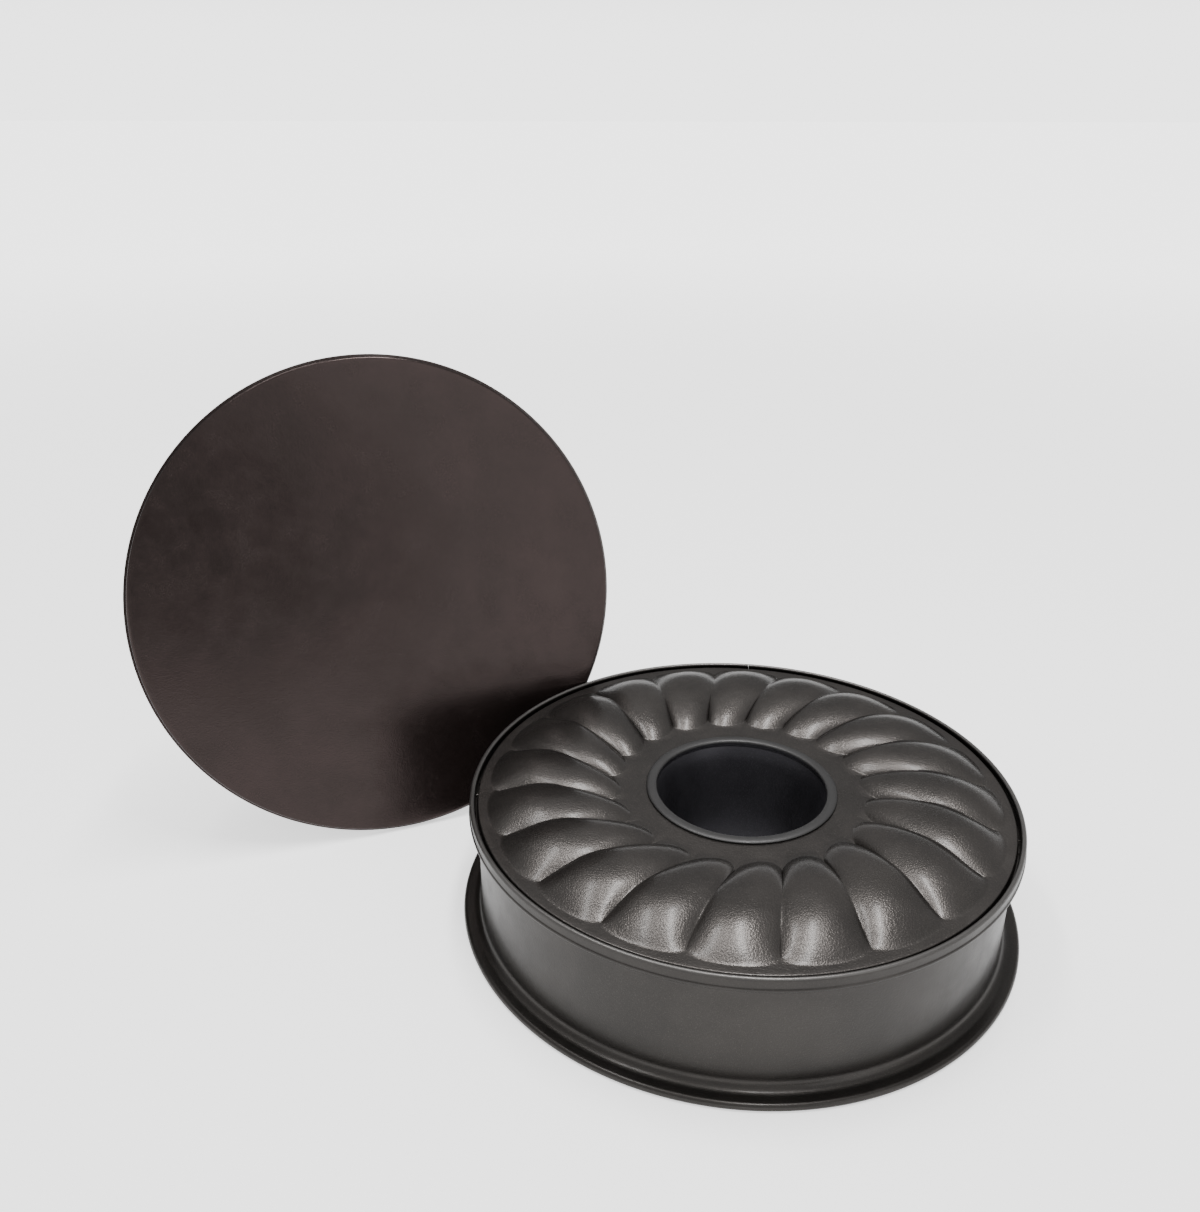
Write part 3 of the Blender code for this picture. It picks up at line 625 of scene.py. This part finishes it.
def combine(item, other, operation):
    """Welds another piece on, or cuts its shape out, and removes the tool."""
    tool = item.modifiers.new("tool", "BOOLEAN")
    tool.operation = operation
    tool.solver = "EXACT"
    tool.object = other
    bpy.context.view_layer.objects.active = item
    bpy.ops.object.modifier_apply(modifier="tool")
    bpy.data.objects.remove(other, do_unlink=True)


def drill(item, centre, radius, sides=32):
    """Drills an upright hole right through both ears."""
    bpy.ops.object.select_all(action="DESELECT")
    bpy.ops.mesh.primitive_cylinder_add(
        vertices=sides, radius=radius, depth=0.03, location=centre)
    combine(item, bpy.context.object, "DIFFERENCE")


def break_edges(item, width, steps=2, angle=35.0):
    edge = item.modifiers.new("edges", "BEVEL")
    edge.width = width
    edge.segments = steps
    edge.limit_method = "ANGLE"
    edge.angle_limit = math.radians(angle)
    edge.use_clamp_overlap = True
    bpy.context.view_layer.objects.active = item
    bpy.ops.object.modifier_apply(modifier="edges")


def plated_steel(name, centre, brushing):
    """Bright zinc plate: fine brushed lines along the strip, cloudy patches and worn spots."""
    material, shader, place = start_finish(name, centre)
    lines = grain(place, 900.0, 2.0, 0.6, brushing)
    cloud = grain(place, 120.0, 3.0, 0.6)
    spots = grain(place, 420.0)
    tone = cloud.grade(0.3, 0.7).tint((0.20, 0.20, 0.21, 1.0), (0.27, 0.27, 0.275, 1.0))
    tone = (lines.grade(0.35, 0.7) * 0.35).tint(tone, (0.15, 0.15, 0.155, 1.0))
    rough = cloud.grade(0.3, 0.7, 0.28, 0.36) + spots.grade(0.5, 0.8, 0.0, 0.08)
    relief = lines * 0.7 + spots * 0.3
    bump = relief.node(
        "ShaderNodeBump", {}, {"Height": relief, "Strength": 0.20, "Distance": 0.00001})
    links = material.node_tree.links
    links.new(tone.socket, shader.inputs["Base Color"])
    links.new(rough.socket, shader.inputs["Roughness"])
    links.new(bump.socket, shader.inputs["Normal"])
    shader.inputs["Metallic"].default_value = 1.0
    return material


along_strip = (0.06, 1.0, 1.0)
bracket_end = bracket_start + bracket_length
bracket = outline_plate(
    "bracket", rounded(
        [(bracket_start, -bracket_half), (bracket_end, -bracket_half),
         (bracket_end, bracket_half), (bracket_start, bracket_half)], 0.0016),
    gap, gap + latch_sheet)
cut_across(bracket, bracket_start, bracket_length, 12)
settle(bracket, wall_point)
ear_drop = pivot_out - gap - latch_sheet * 0.6
ear_line = [(-ear_foot, -ear_drop), (-ear_r, -0.0010)] + bend((0.0, 0.0), ear_r, 172, 8, 16)
ear_line += [(ear_r, -0.0010), (ear_foot, -ear_drop)]
for side in (-1.0, 1.0):
    middle = side * ear_mid
    ear = outline_plate("ear", ear_line, middle - latch_sheet / 2, middle + latch_sheet / 2)
    settle(ear, lever_point, swapped=True)
    combine(bracket, ear, "UNION")
drill(bracket, lever_point(0.0, 0.0, 0.0), pin_r + gap)
break_edges(bracket, 0.00018)
smooth(bracket, 30.0)
bracket.data.materials.append(
    plated_steel("bracket_plating", wall_point(0.024, 0.0, 0.0), along_strip))
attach(bracket, "ring")
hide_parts("lever_bracket")

# Lever pin: a turned steel pin through the bracket's ears and the lever's.
# One head is formed at each end when it is riveted over, so that it can't work out.
lever_sheet = 0.0008
ear_out = ear_mid + 0.0001 + latch_sheet / 2
lever_half = ear_out + gap + lever_sheet
pin_reach = lever_half + gap
pin_line = [(0.0, 0.0008), (0.0009, 0.00076), (0.0016, 0.00062), (0.0021, 0.0004)]
pin_line += [(0.0024, 0.00018), (0.00245, 0.0), (pin_r, 0.0), (pin_r, -pin_reach)]
pin_line = [(r, pin_reach + z) for r, z in pin_line]
pin_line += [(r, -z) for r, z in reversed(pin_line[:-1])]
pin = lathe("pin", pin_line, 40, lever_point(0.0, 0.0, 0.0))
smooth(pin)
pin.data.materials.append(plated_steel("pin_plating", lever_point(0.0, 0.0, 0.0), (1.0, 1.0, 0.1)))
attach(pin, "ring")
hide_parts("lever_pin")

# Catch plate: a smaller plated plate on the other side of the seam.
# A tab is lanced out of it and bent up and slightly back, for the bail's bar to pull against.
catch_start = -0.030
catch_length = 0.018
catch_half = 0.008
hook_along = -0.0160
hook_half = 0.0050
catch_end = catch_start + catch_length
catch = outline_plate(
    "catch", rounded(
        [(catch_start, -catch_half), (catch_end, -catch_half),
         (catch_end, catch_half), (catch_start, catch_half)], 0.0020),
    gap, gap + latch_sheet)
cut_across(catch, catch_start, catch_length, 8)
settle(catch, wall_point)
hook_line = [(hook_along, gap + 0.0004), (hook_along, 0.0020), (hook_along, 0.0034)]
hook_line += [(-0.01606, 0.0044), (-0.01620, 0.0054), (-0.0164, 0.0062)]
hook_outline = [(x + latch_sheet / 2, y) for x, y in hook_line]
hook_outline += [(x - latch_sheet / 2, y) for x, y in reversed(hook_line)]
hook = outline_plate("hook", hook_outline, -hook_half, hook_half)
settle(hook, wall_point, swapped=True)
combine(catch, hook, "UNION")
break_edges(catch, 0.00020)
smooth(catch, 30.0)
catch.data.materials.append(
    plated_steel("catch_plating", wall_point(-0.02, 0.0, 0.0), along_strip))
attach(catch, "ring")
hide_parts("catch_plate")

# Rivets: four alike tubular steel rivets, two through each plate and the hoop's wall.
# Outside they have low domed heads, and inside flat set ends that leave the wall nearly plain.
rivet_places = {
    "bracket_rivet_near": (0.0360, 0.0), "bracket_rivet_far": (0.0425, 0.0),
    "catch_rivet_low": (-0.0255, -0.0045), "catch_rivet_high": (-0.0255, 0.0045)}
rivet_r = 0.0015
head_z = gap + latch_sheet + gap
set_z = -sheet - gap
rivet_line = [(0.0, head_z + 0.0009), (0.0007, head_z + 0.00086), (0.0014, head_z + 0.00070)]
rivet_line += [(0.0020, head_z + 0.00045), (0.0024, head_z + 0.00018), (0.0026, head_z)]
rivet_line += [(rivet_r, head_z), (rivet_r, set_z), (0.0025, set_z), (0.0025, set_z - 0.0003)]
rivet_line += [(0.0018, set_z - 0.0008), (0.0, set_z - 0.0009)]
rivet_finish = plated_steel("rivet_plating", wall_point(0.0, 0.0, 0.0), (1.0, 1.0, 1.0))
for name, (along, up) in rivet_places.items():
    rivet = lathe("rivet_" + name, rivet_line, 32, Vector((0.0, 0.0, 0.0)))
    out = (wall_point(along, up, 0.001) - wall_point(along, up, 0.0)).normalized()
    across = Vector((0.0, 0.0, 1.0)).cross(out)
    stand = Matrix((across, Vector((0.0, 0.0, 1.0)), out)).transposed().to_4x4()
    rivet.data.transform(Matrix.Translation(wall_point(along, up, 0.0)) @ stand)
    smooth(rivet)
    rivet.data.materials.append(rivet_finish)
    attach(rivet, "ring")
    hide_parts(name)

# Lever: a channel pressed from thinner plated steel, with an ear on each side and a long grip.
# Its ears turn on the pin and hold the bail's ends, and the grip's tip is turned out for a finger.
grip_line = [(0.0030, 0.0044), (0.0290, 0.0044), (0.0400, -0.0045), (0.0480, -0.0090)]
grip_line += [(0.0530, -0.0107), (0.0560, -0.0092)]
grip_spans = [math.dist(a, b) for a, b in zip(grip_line, grip_line[1:])]
grip_length = sum(grip_spans)
grip_ease = 0.0012
throw_along = 0.0090
throw_in = 0.0002
bail_r = 0.0010


def grip_curve(share):
    """The grip's middle line, eased round its corners, as along and out by share of its length."""
    reach = share * grip_length
    points = []
    for shift in (-2, -1, 0, 1, 2):
        place = min(max(reach + shift * grip_ease, 0.0), grip_length)
        if reach < 2 * grip_ease or reach > grip_length - 2 * grip_ease:
            place = reach
        for a, b, span in zip(grip_line, grip_line[1:], grip_spans):
            if place <= span or b == grip_line[-1]:
                part = place / span
                points.append((a[0] + (b[0] - a[0]) * part, a[1] + (b[1] - a[1]) * part))
                break
            place -= span
    return (sum(p[0] for p in points) / 5, sum(p[1] for p in points) / 5)


lever = outline_plate(
    "lever_channel", rounded(
        [(0.0, -lever_half, 0.0003), (grip_length, -lever_half, 0.0040),
         (grip_length, lever_half, 0.0040), (0.0, lever_half, 0.0003)], 0.0003, 8),
    -lever_sheet / 2, lever_sheet / 2)
cut_across(lever, 0.0, grip_length, 48)
for corner in lever.data.vertices:
    share = min(max(corner.co.x / grip_length, 0.0), 1.0)
    here = Vector(grip_curve(share))
    ahead = Vector(grip_curve(min(share + 0.01, 1.0))) - Vector(grip_curve(max(share - 0.01, 0.0)))
    normal = Vector((-ahead.y, ahead.x)).normalized()
    corner.co.x = here.x + normal.x * corner.co.z
    corner.co.z = here.y + normal.y * corner.co.z
settle(lever, lever_point)
ear_line = [(0.0026, 0.0044)] + bend((0.0, 0.0), 0.0038, 110, 270, 12)
ear_line += bend((throw_along, -throw_in), bail_r + 0.0020, 260, 330, 8)
ear_line += [(0.0160, 0.0018), (0.0224, 0.0022), (0.0280, 0.0044)]
ear_half = lever_sheet / 2 - 0.00002
for side in (-1.0, 1.0):
    middle = side * (lever_half - lever_sheet / 2)
    ear = outline_plate("lever_ear", ear_line, middle - ear_half, middle + ear_half)
    settle(ear, lever_point, swapped=True)
    combine(lever, ear, "UNION")
drill(lever, lever_point(0.0, 0.0, 0.0), pin_r + gap)
drill(lever, lever_point(throw_along, 0.0, -throw_in), bail_r + gap, 24)
break_edges(lever, 0.00016)
smooth(lever, 30.0)
lever.data.materials.append(
    plated_steel("lever_plating", lever_point(0.02, 0.0, 0.0), along_strip))
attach(lever, "lever")
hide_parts("lever")

# Bail: a loop of round spring wire, its ends turned in to the lever's ears.
# The bar at its far end drops behind the catch's tab and draws the seam shut.
bail_up = 0.0116
bail_bend = 0.0025
bail_tip = ear_out - latch_sheet
bar_play = 0.00075
bar_out = 0.0040
bail_start = lever_point(throw_along, 0.0, -throw_in)
bail_end = wall_point(hook_along - latch_sheet / 2 - bar_play - bail_r, 0.0, bar_out)
reach = (bail_end - bail_start).length
half_loop = [(0.0, bail_tip), (0.0, bail_up - bail_bend)]
half_loop += bend((bail_bend, bail_up - bail_bend), bail_bend, 180, 90, 8)
half_loop += [(reach * i / 6, bail_up) for i in range(1, 6)]
half_loop += bend((reach - bail_bend, bail_up - bail_bend), bail_bend, 90, 0, 8)
loop = half_loop + [(x, -y) for x, y in reversed(half_loop)]
run = (bail_end - bail_start).normalized()
wire_points = [bail_start + run * x + Vector((0.0, 0.0, y)) for x, y in loop]
wire = [
    tuple(point) for i, point in enumerate(wire_points)
    if i == 0 or (point - wire_points[i - 1]).length > 0.00001]
bail = draw_line("bail_wire", wire)
bpy.ops.object.mode_set(mode="OBJECT")
bpy.ops.object.convert(target="CURVE")
bail.data.bevel_depth = bail_r
bail.data.bevel_resolution = 5
bail.data.use_fill_caps = True
bpy.ops.object.convert(target="MESH")
bpy.ops.object.mode_set(mode="EDIT")
bpy.ops.mesh.select_all(action="SELECT")
bpy.ops.mesh.remove_doubles(threshold=0.000002)
bpy.ops.mesh.normals_make_consistent(inside=False)
bpy.ops.object.mode_set(mode="OBJECT")
smooth(bail, 50.0)
bail.data.materials.append(plated_steel("bail_plating", bail_start, (1.0, 1.0, 1.0)))
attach(bail, "bail")
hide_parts("bail")

low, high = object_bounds()
